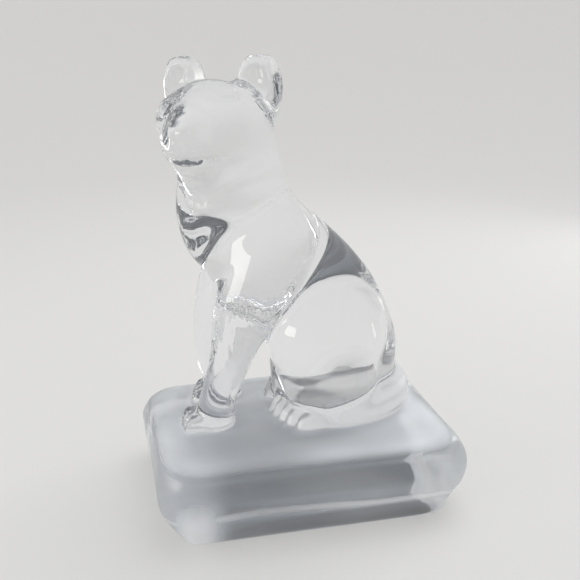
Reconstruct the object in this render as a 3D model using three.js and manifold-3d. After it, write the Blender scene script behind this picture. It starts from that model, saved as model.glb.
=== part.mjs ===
// A seated big cat in clear crystal on a pillow-shaped block of the same glass.
// Units are millimetres. +Z is up, the cat faces -X with its left side towards -Y,
// and the origin is the centre of the block's flat underside.
import * as THREE from "three";
import { mergeVertices } from "three/addons/utils/BufferGeometryUtils.js";
import Module from "manifold-3d";

const wasm = await Module();
wasm.setup();

// ---- Driving dimensions ----------------------------------------------------

const BLOCK_HALF_LENGTH = 69;
const BLOCK_HALF_DEPTH = 41;
const BLOCK_HEIGHT = 36;
const END_SLANT = 9; // how far the left end comes in from its back corner to its front one
const BOND_GAP = 0.3; // clear joint between neighbouring pieces
const MIDPLANE_Y = 7; // the cat's own plane of symmetry, behind the block's centre
const HEAD_YAW = 56; // degrees the head turns from -X towards the cat's left
const HEAD_CENTRE = [-29, MIDPLANE_Y - 4, 154];
const EAR_TOP = 26; // the level tops of the ears, above the head's centre
const SPINE_HALF_WIDTH = 8; // of the body that stays between the two haunches
const BRISKET_HALF_WIDTH = 2; // of the body that stays between the two forelegs

const REACH = 200; // further than the figurine extends any way
const BALL_AROUND = 20; // segments of an ellipsoid
const BALL_DOWN = 12;
const SMALL_BALL = 8; // ellipsoids under this radius have fewer segments
const LIMB_AROUND = 12;
const CORNER_POINTS = 9; // of each corner of the block

// ---- Solids ----------------------------------------------------------------

// The solid inside a closed skin.
function solidFrom(geometry) {
  geometry.deleteAttribute("normal");
  geometry.deleteAttribute("uv");
  const merged = mergeVertices(geometry, 1e-4);
  return new wasm.Manifold(
    new wasm.Mesh({
      numProp: 3,
      vertProperties: merged.attributes.position.array,
      triVerts: new Uint32Array(merged.index.array),
    }),
  );
}

function geometryFrom(solid) {
  const { vertProperties, triVerts } = solid.getMesh();
  const geometry = new THREE.BufferGeometry();
  geometry.setAttribute("position", new THREE.BufferAttribute(vertProperties, 3));
  geometry.setIndex(new THREE.BufferAttribute(triVerts, 1));
  return geometry;
}

const unite = (...solids) => solids.reduce((all, one) => all.add(one));

// The largest body of a solid: cuts can leave crumbs behind.
function largestBody(solid) {
  const bodies = solid.decompose();
  return bodies.reduce((a, b) => (b.volume() > a.volume() ? b : a));
}

// Rings of equal length joined into a closed skin, with a fan over each end.
function loft(rings) {
  const around = rings[0].length;
  const points = rings.flat();
  const centreOf = (ring) =>
    ring.reduce((sum, p) => sum.add(p), new THREE.Vector3()).divideScalar(around);
  const first = points.push(centreOf(rings[0])) - 1;
  const last = points.push(centreOf(rings[rings.length - 1])) - 1;
  const lastRing = (rings.length - 1) * around;
  const index = [];
  for (let i = 0; i < around; i++) {
    const next = (i + 1) % around;
    for (let row = 0; row < lastRing; row += around) {
      index.push(row + i, row + next, row + around + next);
      index.push(row + i, row + around + next, row + around + i);
    }
    index.push(first, next, i);
    index.push(last, lastRing + i, lastRing + next);
  }
  const geometry = new THREE.BufferGeometry().setFromPoints(points);
  geometry.setIndex(index);
  return solidFrom(geometry);
}

// An ellipsoid, its own X axis turned by yaw about Z.
function ellipsoid(centre, radii, grow = 0, yaw = 0) {
  const coarse = Math.max(...radii) < SMALL_BALL ? 0.6 : 1;
  const ball = new THREE.SphereGeometry(
    1,
    Math.round(BALL_AROUND * coarse),
    Math.round(BALL_DOWN * coarse),
  );
  ball.rotateX(Math.PI / 2);
  ball.scale(...radii.map((r) => r + grow));
  ball.rotateZ(THREE.MathUtils.degToRad(yaw));
  ball.translate(...centre);
  return solidFrom(ball);
}

// A box from its lowest corner to its highest.
function box(low, high) {
  const size = high.map((h, i) => h - low[i]);
  const middle = high.map((h, i) => (h + low[i]) / 2);
  return solidFrom(new THREE.BoxGeometry(...size).translate(...middle));
}

// A round limb along a smooth curve through stations [x, y, z, radius], with round ends.
function limb(stations, grow = 0) {
  const curve = new THREE.CatmullRomCurve3(
    stations.map(([x, y, z]) => new THREE.Vector3(x, y, z)),
  );
  const spans = stations.length - 1;
  const steps = spans * 2;
  const frames = curve.computeFrenetFrames(steps, false);
  const radiusAt = (t) => {
    const at = t * spans;
    const i = Math.min(Math.floor(at), spans - 1);
    return THREE.MathUtils.lerp(stations[i][3], stations[i + 1][3], at - i) + grow;
  };
  const ring = (step, radius, push) =>
    Array.from({ length: LIMB_AROUND }, (_, i) => {
      const angle = (i / LIMB_AROUND) * 2 * Math.PI;
      return curve
        .getPoint(step / steps)
        .addScaledVector(frames.tangents[step], push)
        .addScaledVector(frames.normals[step], radius * Math.cos(angle))
        .addScaledVector(frames.binormals[step], radius * Math.sin(angle));
    });
  const CAP_ANGLES = [75, 50, 25].map(THREE.MathUtils.degToRad);
  const cap = (step, side) =>
    CAP_ANGLES.map((a) => {
      const radius = radiusAt(step / steps);
      return ring(step, radius * Math.cos(a), side * radius * Math.sin(a));
    });
  const middle = Array.from({ length: steps + 1 }, (_, s) => ring(s, radiusAt(s / steps), 0));
  return loft([...cap(0, -1), ...middle, ...cap(steps, 1).reverse()]);
}

// Level ellipses stacked upwards, each [z, lowest X, highest X, half width in Y].
function stack(sections, midY, grow = 0) {
  return loft(
    sections.map(([z, low, high, half]) =>
      Array.from({ length: BALL_AROUND }, (_, i) => {
        const angle = (i / BALL_AROUND) * 2 * Math.PI;
        return new THREE.Vector3(
          (low + high) / 2 + ((high - low) / 2 + grow) * Math.cos(angle),
          midY + (half + grow) * Math.sin(angle),
          z,
        );
      }),
    ),
  );
}

// ---- The block -------------------------------------------------------------

// The block's outline in plan at its widest: front left, front right, back right, back left.
// The left end runs back at a slant, as broken ice does.
const BLOCK_CORNERS = [
  [-BLOCK_HALF_LENGTH + END_SLANT, -BLOCK_HALF_DEPTH],
  [BLOCK_HALF_LENGTH, -BLOCK_HALF_DEPTH],
  [BLOCK_HALF_LENGTH - 2, BLOCK_HALF_DEPTH],
  [-BLOCK_HALF_LENGTH, BLOCK_HALF_DEPTH],
];

// Levels of the wall, from the flat underside over the bulge to the crown. Each gives the
// inset of the front left, right and back left corners, that of the long faces, and the
// radius of the corners.
const WALL = [
  { z: 0, frontLeft: 10, right: 13, backLeft: 16, face: 3, corner: 5 },
  { z: 3, frontLeft: 7.5, right: 11.5, backLeft: 11, face: 1.8, corner: 7 },
  { z: 10, frontLeft: 4, right: 7, backLeft: 5, face: 0.6, corner: 10 },
  { z: 17, frontLeft: 1, right: 2, backLeft: 1, face: 0, corner: 13 },
  { z: 23, frontLeft: 0, right: 0, backLeft: 0, face: 0, corner: 15 },
  { z: 29, frontLeft: 1.5, right: 2.5, backLeft: 0.5, face: 1.5, corner: 16 },
  { z: 33.5, frontLeft: 5, right: 7.5, backLeft: 3, face: 4, corner: 16 },
  { z: BLOCK_HEIGHT, frontLeft: 10, right: 14.5, backLeft: 9, face: 9, corner: 15 },
];

// A ring round four corners, each rounded to the radius, at one height.
function roundedRing(corners, radius, z) {
  const middle = corners.map(([x, y]) => [
    x - Math.sign(x) * radius,
    y - Math.sign(y) * radius,
  ]);
  return middle.flatMap(([x, y], corner) =>
    Array.from({ length: CORNER_POINTS }, (_, i) => {
      const angle = ((corner - 2 + i / (CORNER_POINTS - 1)) * Math.PI) / 2;
      return new THREE.Vector3(x + radius * Math.cos(angle), y + radius * Math.sin(angle), z);
    }),
  );
}

function baseBlock(grow) {
  return loft(
    WALL.map(({ z, frontLeft, right, backLeft, face, corner }, level) => {
      const insets = [frontLeft, right, right, backLeft];
      const corners = BLOCK_CORNERS.map(([x, y], i) => [
        x - Math.sign(x) * (insets[i] - grow),
        y - Math.sign(y) * (face - grow),
      ]);
      const crown = level === WALL.length - 1 ? grow : 0;
      return roundedRing(corners, corner + grow, z + crown);
    }),
  );
}

// ---- The cat ---------------------------------------------------------------

// Paws, tail and body all run down into the block, which cuts them flat at its crown.

// Side is -1 for the cat's left and 1 for its right.
const sideY = (side, fromMidplane) => MIDPLANE_Y + side * fromMidplane;

// What lies on one side of the cat, further than a distance from its midplane.
function ownSide(solid, side, inner, grow) {
  const near = sideY(side, inner - grow);
  const far = sideY(side, REACH);
  const slab = box([-REACH, Math.min(near, far), -REACH], [REACH, Math.max(near, far), REACH]);
  return solid.intersect(slab);
}

// A pad lying on the block with a row of toes along its front, slanting back towards the
// outside. Lengths run along X from the middle of the pad.
function paw({ x, out, side, pad, toes, toeAhead, toeSize, slant }, grow) {
  const middle = [x, sideY(side, out), BLOCK_HEIGHT + 2];
  const row = toes.map((across) => {
    const back = slant * across + 0.02 * across * across;
    const centre = [x - toeAhead + back, sideY(side, out + across), BLOCK_HEIGHT + 1.5];
    return ellipsoid(centre, toeSize, grow, -side * 15);
  });
  return unite(ellipsoid(middle, pad, grow, -side * 8), ...row);
}

const hindPaw = (side) => (grow) =>
  paw(
    {
      x: 9.5,
      out: 15.5,
      side,
      pad: [16, 11, 8],
      toes: [-9, -4.5, 0, 4.5, 9],
      toeAhead: 12.5,
      toeSize: [5.5, 2.8, 4.8],
      slant: 0.45,
    },
    grow,
  );

// The tail leaves the back, curls round the left haunch and ends by the left hind foot.
function tail(grow) {
  return limb(
    [
      [31.5, 27, BLOCK_HEIGHT + 7, 8],
      [43, 19, BLOCK_HEIGHT + 7, 7.5],
      [45.5, 4, BLOCK_HEIGHT + 6.5, 7],
      [39, -8, BLOCK_HEIGHT + 6, 6.5],
      [27, -13.5, BLOCK_HEIGHT + 5.5, 6],
      [15, -15, BLOCK_HEIGHT + 5, 5],
    ],
    grow,
  );
}

const haunch = (side) => (grow) =>
  ownSide(
    unite(
      ellipsoid([12, sideY(side, 11.5), 72], [25, 20, 26], grow),
      ellipsoid([14, sideY(side, 12), 52], [20, 16, 17], grow),
    ),
    side,
    SPINE_HALF_WIDTH,
    grow,
  );

// The right foreleg stands a little behind the left one and bows forwards at the elbow.
const FORELEGS = {
  [-1]: [
    [-9, 10.5, 114, 17],
    [-15.5, 12, 98, 15],
    [-21.5, 13, 86, 12.2],
    [-25, 13.2, 76, 9.8],
    [-28.5, 13, 64, 7.8],
    [-32, 12.5, 54, 6.8],
    [-34.5, 12, BLOCK_HEIGHT + 8, 6.8],
  ],
  [1]: [
    [-13, 10.5, 114, 16.5],
    [-22, 12, 97, 14],
    [-29, 13, 80, 11.5],
    [-32.5, 12.5, 60, 9.5],
    [-30.5, 12, BLOCK_HEIGHT + 8, 7.2],
  ],
};

const foreleg = (side) => (grow) => {
  const stations = FORELEGS[side];
  const [ankleX, ankleOut] = stations[stations.length - 1];
  const leg = limb(
    stations.map(([x, out, z, radius]) => [x, sideY(side, out), z, radius]),
    grow,
  );
  const foot = paw(
    {
      x: ankleX - 2,
      out: ankleOut,
      side,
      pad: [9, 7, 6.5],
      toes: [-4.8, -1.6, 1.6, 4.8],
      toeAhead: 7,
      toeSize: [4, 2.2, 4.2],
      slant: 0.1,
    },
    grow,
  );
  return ownSide(unite(leg, foot), side, BRISKET_HALF_WIDTH, grow);
};

// A point of the head, ahead of, to the right of and above its centre.
function headPoint(ahead, right, up) {
  const yaw = THREE.MathUtils.degToRad(HEAD_YAW);
  return [
    HEAD_CENTRE[0] - ahead * Math.cos(yaw) - right * Math.sin(yaw),
    HEAD_CENTRE[1] - ahead * Math.sin(yaw) + right * Math.cos(yaw),
    HEAD_CENTRE[2] + up,
  ];
}

// Short broad ears with level tops, each with a hollow facing the way the cat looks.
const ear = (side) => (grow) => {
  const shell = ellipsoid(headPoint(-3.5, side * 15.5, 14.5), [5.6, 8.8, 13.5], grow, HEAD_YAW);
  if (grow) return shell;
  const above = HEAD_CENTRE[2] + EAR_TOP;
  return shell
    .subtract(box([-REACH, -REACH, above], [REACH, REACH, above + REACH]))
    .subtract(ellipsoid(headPoint(2.6, side * 16.2, 17.5), [4, 5, 6], 0, HEAD_YAW));
};

// Skull, brow, tapering muzzle with a nose at its tip, cheeks and lower jaw.
function head(grow) {
  const snout = limb(
    [
      [...headPoint(0, 0, 0), 17],
      [...headPoint(9, 0.5, 0.5), 14],
      [...headPoint(16, 0.5, 0), 11.5],
      [...headPoint(20, 0.5, -0.5), 9.5],
    ],
    grow,
  );
  const jaw = limb(
    [
      [...headPoint(2, 0, -6), 12],
      [...headPoint(10, 0, -8), 10],
      [...headPoint(15.5, 0, -8.5), 7.5],
    ],
    grow,
  );
  return unite(
    ellipsoid(headPoint(0, 0, 0), [19, 20, 17.5], grow, HEAD_YAW),
    ellipsoid(headPoint(8, 1.5, 5), [14, 17, 11], grow, HEAD_YAW),
    ellipsoid(headPoint(26.5, 0.5, 3.5), [3.5, 4.2, 3], grow, HEAD_YAW),
    snout,
    jaw,
  );
}

function torso(grow) {
  const sections = [
    [BLOCK_HEIGHT - 2, -4, 39, 15],
    [45, -8, 44.5, 18],
    [55, -8, 46.5, 19.5],
    [66, -8, 46, 20],
    [76, -13, 43, 20],
    [86, -22, 38.5, 20],
    [96, -33, 32.5, 20],
    [107, -42, 23.5, 20.5],
    [118, -45.5, 12, 20],
    [127, -46, 1.5, 19],
    [136, -44.5, -7.5, 18.5],
    [146, -40, -7.5, 17],
    [154, -35, -11, 14],
  ];
  return stack(sections, MIDPLANE_Y, grow);
}

// ---- Assembly --------------------------------------------------------------

// Each piece is cut back by the pieces listed before it, one bond gap clear of them.
const PIECES = [
  ["base_block", baseBlock],
  ["left_hind_paw", hindPaw(-1)],
  ["right_hind_paw", hindPaw(1)],
  ["tail", tail],
  ["left_haunch", haunch(-1)],
  ["right_haunch", haunch(1)],
  ["left_foreleg", foreleg(-1)],
  ["right_foreleg", foreleg(1)],
  ["head", head],
  ["left_ear", ear(-1)],
  ["right_ear", ear(1)],
  ["torso", torso],
];

const figurine = new THREE.Group();
PIECES.forEach(([name, make], place) => {
  const earlier = PIECES.slice(0, place).map(([, before]) => before(BOND_GAP));
  const solid = earlier.reduce((left, before) => left.subtract(before), make(0));
  const crystal = new THREE.MeshStandardMaterial({
    name: "clear_crystal",
    color: 0xe6e9ec,
    roughness: 0.05,
    metalness: 0,
  });
  const mesh = new THREE.Mesh(geometryFrom(largestBody(solid)), crystal);
  mesh.name = name;
  figurine.add(mesh);
});

export default figurine;
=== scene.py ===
"""Crystal figurine of a seated big cat: the looks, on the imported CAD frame."""

import math

import bmesh
import bpy
import numpy as np
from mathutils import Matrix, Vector


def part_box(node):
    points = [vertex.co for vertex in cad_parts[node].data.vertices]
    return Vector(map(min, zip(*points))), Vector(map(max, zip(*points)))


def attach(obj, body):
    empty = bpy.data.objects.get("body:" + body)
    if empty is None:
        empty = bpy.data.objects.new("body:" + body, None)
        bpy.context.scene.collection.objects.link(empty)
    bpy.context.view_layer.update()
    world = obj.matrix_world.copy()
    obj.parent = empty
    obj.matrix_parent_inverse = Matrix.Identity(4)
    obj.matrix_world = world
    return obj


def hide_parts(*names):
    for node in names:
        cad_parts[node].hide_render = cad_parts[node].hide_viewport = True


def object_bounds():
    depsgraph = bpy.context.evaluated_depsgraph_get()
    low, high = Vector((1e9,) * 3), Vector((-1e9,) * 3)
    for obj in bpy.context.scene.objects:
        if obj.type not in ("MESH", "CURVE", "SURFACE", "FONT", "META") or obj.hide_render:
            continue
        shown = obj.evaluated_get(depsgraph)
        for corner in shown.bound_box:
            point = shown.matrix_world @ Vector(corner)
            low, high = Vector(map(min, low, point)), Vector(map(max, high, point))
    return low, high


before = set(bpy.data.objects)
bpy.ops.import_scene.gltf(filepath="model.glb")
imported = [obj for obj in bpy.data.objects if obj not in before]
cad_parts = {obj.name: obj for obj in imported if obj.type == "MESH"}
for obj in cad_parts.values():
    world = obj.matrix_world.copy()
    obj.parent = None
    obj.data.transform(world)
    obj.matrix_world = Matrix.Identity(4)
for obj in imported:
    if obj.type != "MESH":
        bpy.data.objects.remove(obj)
cad_low, cad_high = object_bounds()

MM = 0.001


def node_box(name):
    """A CAD node's lowest and highest corner, in millimetres."""
    low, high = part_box(name)
    return np.array(low) / MM, np.array(high) / MM


BLOCK_LOW, BLOCK_HIGH = node_box("base_block")
TORSO_LOW, TORSO_HIGH = node_box("torso")
TOP = BLOCK_HIGH[2]
MID = (TORSO_LOW[1] + TORSO_HIGH[1]) / 2


# ---- Signed distance fields, in millimetres --------------------------------


def smooth_union(a, b, k):
    h = np.clip(0.5 + 0.5 * (b - a) / k, 0, 1)
    return b * (1 - h) + a * h - k * h * (1 - h)


def smooth_cut(a, b, k):
    """a with b taken away."""
    return -smooth_union(-a, b, k)


def ellipsoid(centre, radii):
    c = np.array(centre, float)
    r = np.array(radii, float)

    def field(p):
        q = (p - c) / r
        near = np.sqrt((q * q).sum(-1)) + 1e-9
        slope = np.sqrt(((q / r) ** 2).sum(-1)) + 1e-9
        return near * (near - 1) / slope

    return field


def cone(a, ra, b, rb):
    """A round cone from a to b."""
    a = np.array(a, float)
    axis = np.array(b, float) - a

    def field(p):
        v = p - a
        t = np.clip((v @ axis) / (axis @ axis), 0, 1)
        away = v - t[..., None] * axis
        return np.sqrt((away * away).sum(-1)) - (ra + (rb - ra) * t)

    return field


def chain(stations, soft=1.0):
    """Round cones through stations (x, y, z, radius), on a smoothed path."""
    s = np.array(stations, float)
    padded = np.vstack([2 * s[0] - s[1], s, 2 * s[-1] - s[-2]])
    path = []
    for i in range(1, len(s)):
        p0, p1, p2, p3 = padded[i - 1 : i + 3]
        for t in np.linspace(0, 1, 5)[:-1]:
            path.append(
                0.5
                * (
                    2 * p1
                    + (p2 - p0) * t
                    + (2 * p0 - 5 * p1 + 4 * p2 - p3) * t**2
                    + (3 * p1 - p0 - 3 * p2 + p3) * t**3
                )
            )
    path.append(s[-1])
    links = [cone(a[:3], a[3], b[:3], b[3]) for a, b in zip(path, path[1:])]

    def field(p):
        total = sum(np.exp(np.clip(-link(p) / soft, -40, 40)) for link in links)
        return (0.8 - np.log(total)) * soft

    return field


def blend(first, *others):
    """first joined to each (field, k) in turn."""

    def field(p):
        d = first(p)
        for other, k in others:
            d = smooth_union(d, other(p), k)
        return d

    return field


def smooth_table(rows, count=200):
    """A table with its first column as the abscissa, resampled on a smooth curve."""
    rows = np.array(rows, float)
    x = rows[:, 0]
    slopes = np.gradient(rows[:, 1:], x, axis=0)
    xs = np.linspace(x[0], x[-1], count)
    i = np.clip(np.searchsorted(x, xs) - 1, 0, len(x) - 2)
    h = (x[i + 1] - x[i])[:, None]
    t = ((xs - x[i]) / h[:, 0])[:, None]
    y0, y1 = rows[i, 1:], rows[i + 1, 1:]
    m0, m1 = slopes[i] * h, slopes[i + 1] * h
    ys = (
        (2 * t**3 - 3 * t**2 + 1) * y0
        + (t**3 - 2 * t**2 + t) * m0
        + (-2 * t**3 + 3 * t**2) * y1
        + (t**3 - t**2) * m1
    )
    return xs, ys


# ---- The block -------------------------------------------------------------

# z, then how far the wall is in from the widest outline: front left corner, right end,
# back left corner, long faces, and the corner radius.
WALL = smooth_table(
    [
        [0, 10, 13, 16, 3, 6],
        [3, 7.5, 11.5, 11, 1.8, 8],
        [10, 4, 7, 5, 0.6, 10],
        [17, 1, 2, 1, 0, 13],
        [23, 0, 0, 0, 0, 15],
        [29, 1.5, 2.5, 0.5, 1.5, 16],
        [33.5, 5, 7.5, 3, 4, 16],
        [36, 10, 14.5, 9, 9, 15],
    ]
)
END_SLANT = 9


def block_field(p):
    x, y, z = p[..., 0], p[..., 1], p[..., 2] * 36 / TOP
    front_left, right, back_left, face, corner = (
        np.interp(z, WALL[0], WALL[1][:, i]) for i in range(5)
    )
    share = np.clip((y - BLOCK_LOW[1]) / (BLOCK_HIGH[1] - BLOCK_LOW[1]), 0, 1)
    left_edge = BLOCK_LOW[0] + (END_SLANT + front_left) * (1 - share) + back_left * share
    right_edge = BLOCK_HIGH[0] - right - 2 * share
    # Long lazy swells, as fire-polished glass has.
    swell = 0.45 * np.sin(z * 0.34 + x / 24 - y / 21 + 0.9)
    swell += 0.35 * np.sin(z * 0.21 - x / 33 + y / 17 + 2.1)
    side_x = np.maximum(left_edge - x, x - right_edge) + corner
    side_y = np.maximum(BLOCK_LOW[1] + face - y, y - BLOCK_HIGH[1] + face) + corner
    wall = np.hypot(np.maximum(side_x, 0), np.maximum(side_y, 0))
    wall += np.minimum(np.maximum(side_x, side_y), 0) - corner
    wall = 0.8 * (wall + 0.8 + swell * np.clip(z / 5, 0, 1))
    crown = p[..., 2] - TOP + 0.5 + 0.35 * np.sin(x / 17 + 1.0) * np.sin(y / 13 + 0.5)
    sides = -smooth_union(-wall, -crown, 5)
    return -smooth_union(-sides, p[..., 2], 5)


# ---- The cat ---------------------------------------------------------------

TORSO = smooth_table(
    [
        [30, -4, 38, 17],
        [36, -7, 41, 18],
        [45, -9, 44.5, 19],
        [55, -10, 46.5, 19.5],
        [66, -9, 46, 20],
        [76, -13, 43, 20],
        [86, -22, 38.5, 20],
        [96, -33, 32.5, 20],
        [107, -42, 23.5, 20.5],
        [118, -45.5, 12, 20],
        [127, -46, 1.5, 19],
        [136, -44.5, -7.5, 18.5],
        [146, -40, -8, 17.5],
        [156, -35, -10, 15],
    ]
)

TORSO_FOOT, TORSO_CROWN = TORSO[0][0], TORSO[0][-1]
NECK = ellipsoid((-20, MID, 133), (17, 22, 15))


def torso_field(p):
    z = p[..., 2]
    low, high, half = (np.interp(z, TORSO[0], TORSO[1][:, i]) for i in range(3))
    a, b = (high - low) / 2, half
    u, v = (p[..., 0] - (low + high) / 2) / a, (p[..., 1] - MID) / b
    near = np.sqrt(u * u + v * v) + 1e-9
    slope = np.sqrt((u / a) ** 2 + (v / b) ** 2) + 1e-9
    side = 0.85 * near * (near - 1) / slope
    trunk = np.maximum(side, np.maximum(z - TORSO_CROWN, TORSO_FOOT - z))
    return smooth_union(trunk, NECK(p), 8)


SPINE_HALF_WIDTH = 8
BRISKET_HALF_WIDTH = 2


def side_point(side, x, out, z):
    return (x, MID + side * out, z)


def own_side(field, side, inner):
    """What lies on one side, further than inner from the midplane."""
    return lambda p: np.maximum(field(p), inner - side * (p[..., 1] - MID))


def haunch(side):
    thigh = blend(
        ellipsoid(side_point(side, 12, 11.5, 72), (25, 20, 26)),
        (ellipsoid(side_point(side, 14, 12, 52), (20, 16, 17)), 6),
    )
    return own_side(thigh, side, SPINE_HALF_WIDTH)


def paw(side, x, out, pad, toes, ahead, size, slant):
    middle = side_point(side, x, out, TOP + 2)
    row = []
    for across in toes:
        back = slant * across + 0.02 * across * across
        centre = side_point(side, x - ahead + back, out + across, TOP + 1.8)
        row.append((ellipsoid(centre, size), 0.7))
    toe_row = blend(row[0][0], *row[1:])
    return blend(ellipsoid(middle, pad), (toe_row, 1.6))


def hind_paw(side):
    return paw(side, 9.5, 15.5, (16, 11, 8), (-9, -4.5, 0, 4.5, 9), 12.5, (5.5, 2.6, 4.8), 0.45)


FORELEGS = {
    -1: [
        [-9, 10.5, 114, 17],
        [-15.5, 12, 98, 15],
        [-21.5, 13, 86, 12.2],
        [-25, 13.2, 76, 9.8],
        [-28.5, 13, 64, 7.8],
        [-32, 12.5, 54, 6.8],
        [-34.5, 12, 45, 6.8],
        [-35.5, 12, 38, 7.4],
    ],
    1: [
        [-13, 10.5, 114, 16.5],
        [-22, 12, 97, 14],
        [-29, 13, 80, 11.5],
        [-32.5, 12.5, 60, 9.5],
        [-30.5, 12, 44, 7.2],
        [-30.5, 12, 38, 7.4],
    ],
}


def foreleg(side):
    stations = [[*side_point(side, x, out, z), r] for x, out, z, r in FORELEGS[side]]
    x, out = FORELEGS[side][-1][:2]
    foot = paw(side, x - 2, out, (9, 6.5, 6.5), (-4.8, -1.6, 1.6, 4.8), 7, (4, 1.9, 4.2), 0.1)
    return own_side(blend(chain(stations), (foot, 2.5)), side, BRISKET_HALF_WIDTH)


TAIL = chain(
    [
        [24, 30, TOP + 9, 9],
        [33, 27, TOP + 7, 8],
        [43, 19, TOP + 7, 7.5],
        [45.5, 4, TOP + 6.5, 7],
        [39, -8, TOP + 6, 6.5],
        [27, -13.5, TOP + 5.5, 6],
        [15, -15, TOP + 5, 5],
    ]
)

HEAD_YAW = math.radians(56)
HEAD_CENTRE = np.array([-29.0, MID - 4, 154.0])
AHEAD = np.array([-math.cos(HEAD_YAW), -math.sin(HEAD_YAW), 0])
RIGHT = np.array([-math.sin(HEAD_YAW), math.cos(HEAD_YAW), 0])
UP = np.array([0, 0, 1.0])
HEAD_AXES = np.stack([AHEAD, RIGHT, UP], 1)
EAR_TOP = 26


def in_head(field):
    """A field given in (ahead, right, up) of the head's centre."""
    return lambda p: field((p - HEAD_CENTRE) @ HEAD_AXES)


def head_shape(q):
    mirror = np.stack([q[..., 0], np.sqrt(q[..., 1] ** 2 + 0.2), q[..., 2]], -1)
    d = ellipsoid((-1, 0, 0), (18.5, 19.5, 17))(q)
    for field, k in (
        (ellipsoid((5, 0.6, 3.5), (15, 19, 12.5)), 5),
        (ellipsoid((15, 0, -3), (10.5, 10.5, 10)), 6),
        (cone((8, 0, 8), 7, (20.5, 0, 2), 4.2), 6),
        (ellipsoid((5, 0, -8), (13, 12, 9.5)), 6),
        (ellipsoid((14, 0, -9.5), (8, 7.5, 7)), 5),
    ):
        d = smooth_union(d, field(q), k)
    for field, k in (
        (ellipsoid((3, 11.5, -5), (11, 8, 9)), 6),
        (ellipsoid((19, 4.4, -4), (5.6, 5.6, 5.2)), 3),
        (ellipsoid((13.5, 9, 2.5), (5, 6, 5)), 5),
        (ellipsoid((11.6, 8, 7.4), (5.5, 6.5, 3)), 5),
    ):
        d = smooth_union(d, field(mirror), k)
    d = smooth_union(d, ellipsoid((23.2, 0, 0.8), (2.8, 3.6, 2.3))(q), 2.2)
    d = smooth_cut(d, ellipsoid((26.6, 0, -8.6), (3.2, 5.5, 0.3))(q), 2.6)
    return d


def ear_shape(side):
    """A broad ear with a blunt, level top and a cupped front."""
    shell = ellipsoid((-3.5, side * 15.5, 14.5), (5.6, 8.8, 13.5))
    hollow = ellipsoid((2.2, side * 16.2, 16.5), (4.4, 5.2, 6.2))
    return lambda q: smooth_cut(smooth_cut(shell(q), EAR_TOP - q[..., 2], 3), hollow(q), 1.6)


# name: field, and how softly it joins what is before it, in millimetres
MASSES = {
    "torso": (torso_field, 3),
    "left_haunch": (haunch(-1), 2.5),
    "right_haunch": (haunch(1), 2.5),
    "left_foreleg": (foreleg(-1), 4),
    "right_foreleg": (foreleg(1), 4),
    "left_hind_paw": (hind_paw(-1), 4),
    "right_hind_paw": (hind_paw(1), 4),
    "tail": (TAIL, 4),
    "head": (in_head(head_shape), 6),
    "left_ear": (in_head(ear_shape(-1)), 3.5),
    "right_ear": (in_head(ear_shape(1)), 3.5),
}
MARGIN = 12  # how far outside its CAD box a mass can still reach the skin


def figurine_field(p):
    """The whole figurine at points p of shape (N, 3)."""
    d = block_field(p)
    for name, (field, k) in MASSES.items():
        low, high = node_box(name)
        near = ((p > low - MARGIN) & (p < high + MARGIN)).all(-1)
        if near.any():
            d[near] = smooth_union(d[near], field(p[near]), k)
    return d


# ---- Crystal ---------------------------------------------------------------

GLASS_IOR = 1.53
CAT_TINT = (0.955, 0.96, 0.975, 1)
BLOCK_TINT = (0.94, 0.965, 1.0, 1)
CLEAR_ROUGHNESS, SATIN_ROUGHNESS = 0.012, 0.16
SATIN_MILK = 0.4
LINE_DEPTH = 4.0  # how much deeper the drawn lines are than the ripple
# Where the cat is lined, in metres: an axis, where it is still clear, where it is fully lined.
LINED = (("X", 0.021, 0.028), ("X", -0.036, -0.045), ("Z", 0.163, 0.17))
LINED_LEGS = ("Z", 0.1, 0.088)


def map_range(nodes, low, high, out_low=0.0, out_high=1.0):
    made = nodes.new("ShaderNodeMapRange")
    made.interpolation_type = "SMOOTHSTEP"
    made.inputs["From Min"].default_value = low
    made.inputs["From Max"].default_value = high
    made.inputs["To Min"].default_value = out_low
    made.inputs["To Max"].default_value = out_high
    return made


def math_node(nodes, links, operation, *values):
    made = nodes.new("ShaderNodeMath")
    made.operation = operation
    for socket, value in zip(made.inputs, values):
        if isinstance(value, (int, float)):
            socket.default_value = value
        else:
            links.new(value, socket)
    return made.outputs["Value"]


def noise(nodes, links, coords, scale, stretch=(1, 1, 1), detail=1.0):
    """Noise over the object, drawn out along the axes by a stretch."""
    mapping = nodes.new("ShaderNodeMapping")
    mapping.inputs["Scale"].default_value = stretch
    made = nodes.new("ShaderNodeTexNoise")
    made.inputs["Scale"].default_value = scale
    made.inputs["Detail"].default_value = detail
    links.new(coords.outputs["Object"], mapping.inputs["Vector"])
    links.new(mapping.outputs["Vector"], made.inputs["Vector"])
    return made.outputs["Fac"]


def crystal_material(name, tint):
    """Clear glass with the lazy ripple of a pressed casting."""
    material = bpy.data.materials.new(name)
    material.use_nodes = True
    nodes, links = material.node_tree.nodes, material.node_tree.links
    shader = nodes["Principled BSDF"]
    shader.inputs["Base Color"].default_value = tint
    shader.inputs["IOR"].default_value = GLASS_IOR
    coords = nodes.new("ShaderNodeTexCoord")
    ripple = noise(nodes, links, coords, 90, (1, 1, 0.3), 1.5)
    bump = nodes.new("ShaderNodeBump")
    bump.inputs["Strength"].default_value = 0.12
    bump.inputs["Distance"].default_value = 0.0006
    links.new(ripple, bump.inputs["Height"])
    links.new(bump.outputs["Normal"], shader.inputs["Normal"])
    return material


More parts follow.
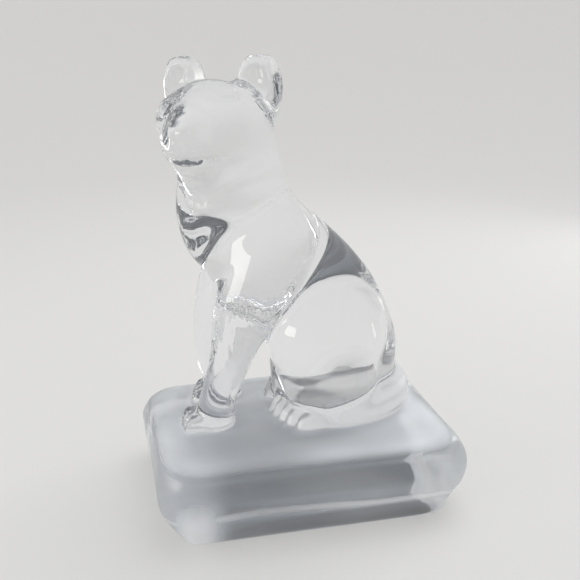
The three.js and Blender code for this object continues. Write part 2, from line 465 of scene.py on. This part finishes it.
def add_draw_lines(material, mask):
    """Fine upright lines, where the mask lets them show, on top of the ripple."""
    nodes, links = material.node_tree.nodes, material.node_tree.links
    bump = nodes["Bump"]
    coords = nodes["Texture Coordinate"]
    ripple = bump.inputs["Height"].links[0].from_socket
    lines = noise(nodes, links, coords, 420, (1, 1, 0.09))
    patches = map_range(nodes, 0.38, 0.56)
    links.new(noise(nodes, links, coords, 60, (1, 1, 0.6)), patches.inputs["Value"])
    lines = math_node(nodes, links, "MULTIPLY", lines, patches.outputs["Result"])
    lines = math_node(nodes, links, "MULTIPLY", lines, mask)
    lines = math_node(nodes, links, "MULTIPLY_ADD", lines, LINE_DEPTH, ripple)
    links.new(lines, bump.inputs["Height"])


def set_satin(material, mask, milk, clear_rough, satin_rough):
    """Clear where the mask is 0 and satin where it is 1, and milky by the milk's share."""
    nodes, links = material.node_tree.nodes, material.node_tree.links
    shader = nodes["Principled BSDF"]
    span = satin_rough - clear_rough
    rough = math_node(nodes, links, "MULTIPLY_ADD", mask, span, clear_rough)
    clear = math_node(nodes, links, "SUBTRACT", 1.0, milk)
    links.new(rough, shader.inputs["Roughness"])
    links.new(clear, shader.inputs["Transmission Weight"])


def object_axes(material):
    """The X, Y and Z sockets of a place on the object, and its coordinates."""
    nodes, links = material.node_tree.nodes, material.node_tree.links
    coords = nodes.new("ShaderNodeTexCoord")
    split = nodes.new("ShaderNodeSeparateXYZ")
    links.new(coords.outputs["Object"], split.inputs["Vector"])
    return coords, split.outputs


def cat_crystal(name, roughness, milk, more=()):
    """The cat's glass, with drawn lines down its chest and muzzle, rump and ears."""
    material = crystal_material(name, CAT_TINT)
    nodes, links = material.node_tree.nodes, material.node_tree.links
    shader = nodes["Principled BSDF"]
    shader.inputs["Roughness"].default_value = roughness
    shader.inputs["Transmission Weight"].default_value = 1 - milk
    axes = object_axes(material)[1]
    mask = 0.0
    for axis, clear, lined in (*LINED, *more):
        made = map_range(nodes, clear, lined)
        links.new(axes[axis], made.inputs["Value"])
        mask = math_node(nodes, links, "MAXIMUM", mask, made.outputs["Result"])
    add_draw_lines(material, mask)
    return material


PAINTED_LINE_HEIGHT = 0.0145
# The first milk paints a bright line across the block, the last paints a highlight down the
# front left corner; the middle one is the top's frost.
PAINTED_LINE_MILK, TOP_MILK, CORNER_PAINTED_HIGHLIGHT = 0.6, 0.68, 0.62
SIDE_MILK = 0.24  # from a quarter up, the denoiser draws a line round each patch
SIDE_ROUGHNESS, SIDE_SATIN_ROUGHNESS = 0.06, 0.27


def block_glass():
    """The block is satin on its top, ends and front corner, with a painted bright line across it
    at one height.
    """
    material = crystal_material("block_crystal", BLOCK_TINT)
    nodes, links = material.node_tree.nodes, material.node_tree.links
    coords, axes = object_axes(material)
    drift = noise(nodes, links, coords, 24, (0.5, 1, 1))
    drift = math_node(nodes, links, "SUBTRACT", drift, 0.5)
    x = math_node(nodes, links, "MULTIPLY_ADD", drift, 0.04, axes["X"])
    z = math_node(nodes, links, "MULTIPLY_ADD", drift, 0.012, axes["Z"])
    masks = []
    for value, clear, satin in (
        (axes["Z"], TOP * MM - 0.005, TOP * MM - 0.0015),
        (x, BLOCK_HIGH[0] * MM - 0.03, BLOCK_HIGH[0] * MM - 0.008),
        (x, BLOCK_LOW[0] * MM + 0.034, BLOCK_LOW[0] * MM + 0.014),
        (z, 0.003, 0.001),
    ):
        made = map_range(nodes, clear, satin)
        links.new(value, made.inputs["Value"])
        masks.append(made.outputs["Result"])
    # Painted light: a milky, rougher line all round the block at one height, drawn as a bright
    # line.
    away = math_node(nodes, links, "SUBTRACT", z, PAINTED_LINE_HEIGHT)
    away = math_node(nodes, links, "ABSOLUTE", away)
    painted_line_mask = map_range(nodes, 0.0004, 0.003, 0.8, 0)
    links.new(away, painted_line_mask.inputs["Value"])
    veil = map_range(nodes, 0.46, 0.72, 0, 0.4)
    links.new(noise(nodes, links, coords, 34, (0.4, 1, 1.7)), veil.inputs["Value"])
    mask = math_node(nodes, links, "MAXIMUM", painted_line_mask.outputs["Result"], veil.outputs["Result"])
    for other in masks:
        mask = math_node(nodes, links, "MAXIMUM", mask, other)
    cloud = map_range(nodes, 0.35, 0.65, 0.65, 1.15)
    links.new(noise(nodes, links, coords, 26, (0.6, 1, 1)), cloud.inputs["Value"])
    mask = math_node(nodes, links, "MULTIPLY", mask, cloud.outputs["Result"])
    frost_and_painted_light = math_node(nodes, links, "MULTIPLY", masks[0], cloud.outputs["Result"])
    frost_and_painted_light = math_node(nodes, links, "MULTIPLY", frost_and_painted_light, TOP_MILK)
    painted_line_share = math_node(nodes, links, "MULTIPLY", painted_line_mask.outputs["Result"], cloud.outputs["Result"])
    painted_line_share = math_node(nodes, links, "MULTIPLY", painted_line_share, PAINTED_LINE_MILK)
    frost_and_painted_light = math_node(nodes, links, "MAXIMUM", frost_and_painted_light, painted_line_share)
    # The front left corner is the brightest: a painted highlight, milky white down the satin
    # corner.
    spread = math_node(nodes, links, "SUBTRACT", axes["X"], BLOCK_LOW[0] * MM + 0.023)
    spread = math_node(nodes, links, "ABSOLUTE", spread)
    near = map_range(nodes, 0.001, 0.014, 1, 0)
    links.new(spread, near.inputs["Value"])
    front = map_range(nodes, BLOCK_LOW[1] * MM + 0.006, BLOCK_LOW[1] * MM + 0.014, 1.2, 0)
    links.new(axes["Y"], front.inputs["Value"])
    below = map_range(nodes, 0.012, 0.03, 1, 0)
    links.new(axes["Z"], below.inputs["Value"])
    corner = math_node(nodes, links, "MULTIPLY", near.outputs["Result"], front.outputs["Result"])
    corner = math_node(nodes, links, "MULTIPLY", corner, below.outputs["Result"])
    mask = math_node(nodes, links, "MAXIMUM", mask, corner)
    # The corner's milk is a painted highlight.
    painted_corner_highlight = math_node(nodes, links, "MULTIPLY", corner, CORNER_PAINTED_HIGHLIGHT)
    frost_and_painted_light = math_node(nodes, links, "MAXIMUM", frost_and_painted_light, painted_corner_highlight)
    mask = math_node(nodes, links, "MINIMUM", mask, 1.0)
    milk = math_node(nodes, links, "MULTIPLY", mask, SIDE_MILK)
    milk = math_node(nodes, links, "MAXIMUM", milk, frost_and_painted_light)
    set_satin(material, mask, milk, SIDE_ROUGHNESS, SIDE_SATIN_ROUGHNESS)
    return material


def bond_material(name):
    """Where two masses meet inside the crystal: nothing is seen there."""
    material = bpy.data.materials.new(name)
    material.use_nodes = True
    nodes, links = material.node_tree.nodes, material.node_tree.links
    nodes.remove(nodes["Principled BSDF"])
    clear = nodes.new("ShaderNodeBsdfTransparent")
    links.new(clear.outputs["BSDF"], nodes["Material Output"].inputs["Surface"])
    return material


def ramp(nodes, stops):
    """Grey tones, a little blue, at places from 0 to 1."""
    made = nodes.new("ShaderNodeValToRGB")
    made.color_ramp.interpolation = "EASE"
    while len(made.color_ramp.elements) < len(stops):
        made.color_ramp.elements.new(0.5)
    for element, (place, tone) in zip(made.color_ramp.elements, stops):
        element.position = place
        element.color = (tone * 0.92, tone * 0.97, tone * 1.05, 1)
    return made


# Painted shade: share of the block's depth from front to back, and the grey painted there as
# dark bands.
PAINTED_SHADE_BANDS = [(0.3, 0.12), (0.48, 0.26), (0.56, 0.54), (0.62, 0.28), (0.7, 0.38), (0.85, 0.6)]
# Painted light: the white the underside turns to towards its left end.
PAINTED_LIGHT_WHITE = (0.88, 0.9, 0.97, 1)


def ground_painted_shade_material(name):
    """The underside, ground flat: milky, with wandering grey bands of painted shade across it
    and painted light towards its left end.
    """
    material = bpy.data.materials.new(name)
    material.use_nodes = True
    nodes, links = material.node_tree.nodes, material.node_tree.links
    shader = nodes["Principled BSDF"]
    shader.inputs["Transmission Weight"].default_value = 0.3
    shader.inputs["IOR"].default_value = GLASS_IOR
    shader.inputs["Roughness"].default_value = 0.6
    coords, axes = object_axes(material)
    depth = nodes.new("ShaderNodeMapRange")
    depth.inputs["From Min"].default_value = BLOCK_LOW[1] * MM
    depth.inputs["From Max"].default_value = BLOCK_HIGH[1] * MM
    links.new(axes["Y"], depth.inputs["Value"])
    # Painted shade: grey bands across the underside from front to back, wandering with a noise.
    wander = noise(nodes, links, coords, 28, (0.35, 1, 1))
    place = math_node(nodes, links, "MULTIPLY_ADD", wander, 0.3, depth.outputs["Result"])
    shade_bands = ramp(nodes, PAINTED_SHADE_BANDS)
    links.new(place, shade_bands.inputs["Fac"])
    # Painted light: the underside turns white towards the left end.
    painted_light_end = map_range(nodes, BLOCK_LOW[0] * MM * 0.4, BLOCK_LOW[0] * MM * 0.7)
    links.new(axes["X"], painted_light_end.inputs["Value"])
    mixed = nodes.new("ShaderNodeMix")
    mixed.data_type = "RGBA"
    mixed.inputs[7].default_value = PAINTED_LIGHT_WHITE
    links.new(painted_light_end.outputs["Result"], mixed.inputs["Factor"])
    links.new(shade_bands.outputs["Color"], mixed.inputs[6])
    links.new(mixed.outputs[2], shader.inputs["Base Color"])
    return material


crystal = cat_crystal("clear_crystal", CLEAR_ROUGHNESS, 0.0)
satin_crystal = cat_crystal("satin_crystal", SATIN_ROUGHNESS, SATIN_MILK)
drawn_crystal = cat_crystal("drawn_crystal", CLEAR_ROUGHNESS, 0.0, [LINED_LEGS])
block_crystal = block_glass()
bond = bond_material("inner_bond")
underside = ground_painted_shade_material("ground_underside_painted_shade")


# ---- Skin ------------------------------------------------------------------

VOXEL = 1.0
CUTTER_VOXEL = 2.2
FAR_OUTSIDE = 50.0  # the field's value away from every mass
SKIN, BOND = 0, 1  # material slots of every piece
BOND_HEIGHT = TOP + 0.3
GROWN = 1.2  # how far a cutter stands proud of its mass
CRACK = 0.6  # the widest crack that is drawn together


def grid_values(low, high):
    """The field on a regular grid, mass by mass, each in its own box."""
    axes = [np.arange(a, b + VOXEL, VOXEL) for a, b in zip(low, high)]
    shape = tuple(len(a) for a in axes)

    def points(window):
        mesh = np.meshgrid(*(a[w] for a, w in zip(axes, window)), indexing="ij")
        return np.stack(mesh, -1)

    def window_of(low, high, margin):
        return tuple(
            slice(*np.searchsorted(a, (lo - margin, hi + margin)))
            for a, lo, hi in zip(axes, low, high)
        )

    values = np.full(shape, FAR_OUTSIDE)
    window = window_of(BLOCK_LOW, BLOCK_HIGH, MARGIN)
    values[window] = block_field(points(window))
    for name, (field, k) in MASSES.items():
        window = window_of(*node_box(name), MARGIN)
        values[window] = smooth_union(values[window], field(points(window)), k)
    return values


CORNERS = np.array([(i, j, k) for i in (0, 1) for j in (0, 1) for k in (0, 1)])
EDGES = [
    (a, b)
    for a in range(8)
    for b in range(a + 1, 8)
    if np.abs(CORNERS[a] - CORNERS[b]).sum() == 1
]


def without_pinches(values):
    """The values with an empty rim, filled in where the skin would touch itself."""
    values = np.pad(values[1:-1, 1:-1, 1:-1], 1, constant_values=1.0)
    pinched = True
    while pinched:
        pinched = False
        inside = values < 0
        for axis in range(3):
            near = [slice(None)] * 3
            near[(axis + 1) % 3] = near[(axis + 2) % 3] = slice(None, -1)
            beside, above = list(near), list(near)
            beside[(axis + 1) % 3] = slice(1, None)
            above[(axis + 2) % 3] = slice(1, None)
            far = list(beside)
            far[(axis + 2) % 3] = slice(1, None)
            a, b, c, d = (inside[tuple(w)] for w in (near, beside, above, far))
            for window, crossed in ((beside, a & d & ~b & ~c), (near, b & c & ~a & ~d)):
                values[tuple(window)][crossed] = -0.05
                pinched = pinched or crossed.any()
    return values


def surface_net(values, origin, step):
    """One closed quad skin round the negative values."""
    values = without_pinches(values)
    inside = values < 0
    shape = np.array(values.shape) - 1
    count = sum(
        inside[i : i + shape[0], j : j + shape[1], k : k + shape[2]].astype(np.int8)
        for i, j, k in CORNERS
    )
    cells = np.argwhere((count > 0) & (count < 8))
    number = np.full(tuple(shape), -1)
    number[tuple(cells.T)] = np.arange(len(cells))
    corner = np.stack([values[tuple((cells + c).T)] for c in CORNERS], 1)
    total = np.zeros((len(cells), 3))
    crossings = np.zeros(len(cells))
    for a, b in EDGES:
        va, vb = corner[:, a], corner[:, b]
        crossed = (va < 0) != (vb < 0)
        t = np.where(crossed, va / np.where(crossed, va - vb, 1), 0)
        at = CORNERS[a] + t[:, None] * (CORNERS[b] - CORNERS[a])
        total += at * crossed[:, None]
        crossings += crossed
    points = origin + step * (cells + total / crossings[:, None])
    quads = []
    for axis in range(3):
        u, v = (axis + 1) % 3, (axis + 2) % 3
        ahead = [slice(None)] * 3
        behind = [slice(None)] * 3
        ahead[axis] = slice(1, None)
        behind[axis] = slice(None, -1)
        near, far = inside[tuple(behind)], inside[tuple(ahead)]
        edges = np.argwhere(near != far)
        edges = edges[(edges[:, u] > 0) & (edges[:, v] > 0)]
        edges = edges[(edges[:, u] < shape[u]) & (edges[:, v] < shape[v])]
        du, dv = np.eye(3, dtype=int)[u], np.eye(3, dtype=int)[v]
        ring = [edges - du - dv, edges - dv, edges, edges - du]
        quad = np.stack([number[tuple(c.T)] for c in ring], 1)
        outward = near[tuple(edges.T)]
        quad[~outward] = quad[~outward][:, ::-1]
        quads.append(quad)
    return points, np.vstack(quads)


def slope(p, step=0.03):
    """The field and its gradient, by differences."""
    here = figurine_field(p)
    ahead = [figurine_field(p + step * shift) for shift in np.eye(3)]
    return here, (np.stack(ahead, 1) - here[:, None]) / step


def settle(p, rounds=2):
    """Points moved onto the true surface."""
    for _ in range(rounds):
        here, g = slope(p)
        push = here[:, None] * g / np.maximum((g * g).sum(1), 0.05)[:, None]
        p = p - np.clip(push, -0.5 * VOXEL, 0.5 * VOXEL)
    return p


def relax(points, quads, rounds=3):
    """Points evened out along the true surface, so that no face is thin or folded."""
    ends = np.vstack([quads[:, [i, (i + 1) % 4]] for i in range(4)])
    count = np.bincount(ends[:, 0], minlength=len(points))[:, None]
    for _ in range(rounds):
        sums = [np.bincount(ends[:, 0], points[ends[:, 1], i], len(points)) for i in range(3)]
        points = settle(0.3 * points + 0.7 * np.stack(sums, 1) / count, 1)
    return settle(points, 1)


def outward(p):
    """Unit normals of the true surface at points p."""
    g = slope(p)[1]
    return g / np.linalg.norm(g, axis=1)[:, None]


def mesh_object(name, points, faces, material_index=0):
    """A mesh object from points in millimetres."""
    data = bpy.data.meshes.new(name)
    data.from_pydata((points * MM).tolist(), [], faces.tolist())
    data.materials.append(crystal)
    data.materials.append(bond)
    indices = np.full(len(data.polygons), material_index, np.int32)
    data.polygons.foreach_set("material_index", indices)
    made = bpy.data.objects.new(name, data)
    bpy.context.scene.collection.objects.link(made)
    return made


def booled(base, cutter, operation):
    """The mesh of base with cutter taken from it, crossed with it or added to it."""
    modifier = base.modifiers.new("cut", "BOOLEAN")
    modifier.operation = operation
    modifier.solver = "MANIFOLD"
    modifier.object = cutter
    shown = base.evaluated_get(bpy.context.evaluated_depsgraph_get())
    made = bpy.data.meshes.new_from_object(shown)
    base.modifiers.remove(modifier)
    return made


def box_mesh(name, low, high):
    """A box whose faces are all bonds."""
    xs, ys, zs = zip(low, high)
    corners = np.array([(x, y, z) for x in xs for y in ys for z in zs])
    ends = [(0, 1, 3, 2), (4, 6, 7, 5)]
    sides = [(0, 4, 5, 1), (2, 3, 7, 6), (0, 2, 6, 4), (1, 5, 7, 3)]
    return mesh_object(name, corners, np.array(ends + sides), BOND)


def cutter_for(name):
    """A mass's own shape, a little grown, that cuts it out of the figurine."""
    low, high = node_box(name)
    low, high = low - MARGIN, high + MARGIN
    axes = [np.arange(a, b, CUTTER_VOXEL) for a, b in zip(low, high)]
    points = np.stack(np.meshgrid(*axes, indexing="ij"), -1)
    net = surface_net(MASSES[name][0](points) - GROWN, low, CUTTER_VOXEL)
    return mesh_object("cutter", *net, BOND)


def parted(mesh):
    """The largest closed shell of a mesh, and its other shells that stand on the block."""
    ends = np.empty(len(mesh.edges) * 2, np.int32)
    mesh.edges.foreach_get("vertices", ends)
    ends = ends.reshape(-1, 2)
    shell, before = np.arange(len(mesh.vertices)), None
    while before is None or (shell != before).any():
        before = shell.copy()
        lowest = before[ends].min(1)
        np.minimum.at(shell, ends[:, 0], lowest)
        np.minimum.at(shell, ends[:, 1], lowest)
        shell = shell[shell]
    main = shell == np.bincount(shell).argmax()
    at = np.empty(len(mesh.vertices) * 3)
    mesh.vertices.foreach_get("co", at)
    foot = np.full(len(shell), np.inf)
    np.minimum.at(foot, shell, at[2::3] / MM)
    made = []
    for keep in (main, ~main & (foot[shell] < BOND_HEIGHT + 0.05)):
        part = mesh.copy()
        work = bmesh.new()
        work.from_mesh(part)
        dropped = [vertex for vertex, kept in zip(work.verts, keep) if not kept]
        bmesh.ops.delete(work, geom=dropped, context="VERTS")
        work.to_mesh(part)
        work.free()
        made.append(part)
    return made


def close_cracks(mesh):
    """Draws together the hair cracks that a cut can leave where three masses meet."""
    work = bmesh.new()
    work.from_mesh(mesh)
    rim = [vertex for vertex in work.verts if vertex.is_boundary]
    if rim:
        bmesh.ops.remove_doubles(work, verts=rim, dist=CRACK * MM)
        work.to_mesh(mesh)
    work.free()


def finished(mesh, name):
    """One piece of the figurine, with the true surface's normals on its skin."""
    mesh.name = name
    mesh.validate()
    close_cracks(mesh)
    made = bpy.data.objects.new(name + "_crystal", mesh)
    bpy.context.scene.collection.objects.link(made)
    count = len(mesh.loops)
    at = np.empty(len(mesh.vertices) * 3)
    mesh.vertices.foreach_get("co", at)
    at = at.reshape(-1, 3) / MM
    vertex = np.empty(count, np.int32)
    mesh.loops.foreach_get("vertex_index", vertex)
    faces = len(mesh.polygons)
    sides, kind, flat = np.empty(faces, np.int32), np.empty(faces, np.int32), np.empty(faces * 3)
    mesh.polygons.foreach_get("loop_total", sides)
    mesh.polygons.foreach_get("material_index", kind)
    mesh.polygons.foreach_get("normal", flat)
    flat = np.repeat(flat.reshape(-1, 3), sides, axis=0)
    on_skin = np.repeat(kind, sides) == SKIN
    used = np.unique(vertex[on_skin])
    at[used] = outward(at[used])
    curved = at[vertex]
    on_skin &= (curved * flat).sum(1) > 0.5
    mesh.polygons.foreach_set("use_smooth", np.ones(faces, bool))
    mesh.normals_split_custom_set(np.where(on_skin[:, None], curved, flat).tolist())
    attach(made, "root")
    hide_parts(name)
    return made


low = np.min([node_box(name)[0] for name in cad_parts], axis=0) - 3
high = np.max([node_box(name)[1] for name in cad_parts], axis=0) + 4
skin_points, skin_quads = surface_net(grid_values(low, high), low, VOXEL)
rest = mesh_object("rest", relax(settle(skin_points), skin_quads), skin_quads)
cut = {}
slab = box_mesh("slab", low - 5, [high[0] + 5, high[1] + 5, BOND_HEIGHT])
CUT_ORDER = ["left_ear", "right_ear", "head", "left_hind_paw", "right_hind_paw", "tail"]
CUT_ORDER += ["left_haunch", "right_haunch", "left_foreleg", "right_foreleg"]
for name in ["base_block", *CUT_ORDER]:
    cutter = slab if name == "base_block" else cutter_for(name)
    cut[name] = booled(rest, cutter, "INTERSECT")
    rest.data = booled(rest, cutter, "DIFFERENCE")
    bpy.data.objects.remove(cutter)
cut["torso"], fillets = parted(rest.data)
# The thin fillets left round the feet are the block's.
if len(fillets.polygons):
    rest.data = cut["base_block"]
    loose = bpy.data.objects.new("loose", fillets)
    bpy.context.scene.collection.objects.link(loose)
    cut["base_block"] = booled(rest, loose, "UNION")
    bpy.data.objects.remove(loose)
bpy.data.objects.remove(rest)
pieces = {name: finished(mesh, name) for name, mesh in cut.items()}

for name in ("tail", "left_hind_paw", "right_hind_paw"):
    pieces[name].data.materials[SKIN] = satin_crystal
for name in ("left_foreleg", "right_foreleg"):
    pieces[name].data.materials[SKIN] = drawn_crystal

block = pieces["base_block"].data
block.materials[SKIN] = block_crystal
block.materials.append(underside)
GROUND = len(block.materials) - 1
for face in block.polygons:
    if face.normal.z < -0.98 and face.center.z < 0.0015:
        face.material_index = GROUND


# ---- Studio ----------------------------------------------------------------

FLOOR_TONE = (0.47, 0.465, 0.455, 1)


def plain_material(name, colour, roughness, glow=0.0):
    material = bpy.data.materials.new(name)
    material.use_nodes = True
    shader = material.node_tree.nodes["Principled BSDF"]
    shader.inputs["Base Color"].default_value = colour
    shader.inputs["Roughness"].default_value = roughness
    shader.inputs["Emission Color"].default_value = colour
    shader.inputs["Emission Strength"].default_value = glow
    return material


def cove(radius, bend, height):
    """A round floor that curves up into a wall all round."""
    profile = [(0.0, 0.0), (radius * 0.5, 0.0), (radius, 0.0)]
    for i in range(1, 13):
        angle = i / 12 * math.pi / 2
        profile.append((radius + bend * math.sin(angle), bend * (1 - math.cos(angle))))
    profile.append((radius + bend, height))
    around = 96
    points, faces = [(0.0, 0.0, 0.0)], []
    for r, z in profile[1:]:
        for i in range(around):
            a = i / around * 2 * math.pi
            points.append((r * math.cos(a), r * math.sin(a), z))
    for i in range(around):
        faces.append((0, 1 + i, 1 + (i + 1) % around))
    for row in range(len(profile) - 2):
        for i in range(around):
            j = (i + 1) % around
            a, b = 1 + row * around, 1 + (row + 1) * around
            faces.append((a + i, b + i, b + j, a + j))
    data = bpy.data.meshes.new("studio_floor")
    data.from_pydata(points, [], faces)
    data.polygons.foreach_set("use_smooth", np.ones(len(data.polygons), bool))
    made = bpy.data.objects.new("studio_floor", data)
    bpy.context.scene.collection.objects.link(made)
    return made


floor = cove(0.9, 0.5, 1.4)
floor.location.z = cad_low[2] - 0.0006
floor.data.materials.append(plain_material("pale_floor", FLOOR_TONE, 0.7, 0.65))

world = bpy.data.worlds.new("studio")
bpy.context.scene.world = world
world.use_nodes = True
world.node_tree.nodes["Background"].inputs["Color"].default_value = (0.92, 0.95, 1.0, 1)
world.node_tree.nodes["Background"].inputs["Strength"].default_value = 0.6


def softbox(name, spot, size, power, colour=(1, 1, 1)):
    data = bpy.data.lights.new(name, "AREA")
    data.shape = "RECTANGLE"
    data.size, data.size_y = size
    data.energy = power
    data.color = colour
    lamp = bpy.data.objects.new(name, data)
    lamp.location = spot
    target = Vector((0, 0, cad_high[2] / 2))
    lamp.rotation_euler = (target - Vector(spot)).to_track_quat("-Z", "Y").to_euler()
    lamp.visible_camera = False
    bpy.context.scene.collection.objects.link(lamp)
    return lamp


softbox("window", (-0.58, -0.17, 0.12), (0.36, 0.15), 0.76, (1, 0.99, 0.94))
top_light = softbox("top_light", (0.25, 0.2, 0.9), (0.6, 0.6), 3)
top_light.visible_transmission = False
top_light.visible_glossy = False
strip = softbox("strip", (0.62, 0.3, 0.14), (0.08, 0.36), 0.7)
strip.visible_glossy = False

camera_data = bpy.data.cameras.new("camera")
camera_data.sensor_width = 36
camera_data.lens = 36
camera = bpy.data.objects.new("camera", camera_data)
bpy.context.scene.collection.objects.link(camera)
bpy.context.scene.camera = camera
camera.location = (-0.0456, -0.2197, 0.168)
camera.rotation_euler = (math.radians(90 - 19.03), 0, math.radians(-11.1))

bpy.context.scene.view_settings.view_transform = "Standard"
cycles = bpy.context.scene.cycles
cycles.max_bounces = cycles.glossy_bounces = cycles.transmission_bounces = 48
cycles.transparent_max_bounces = 128
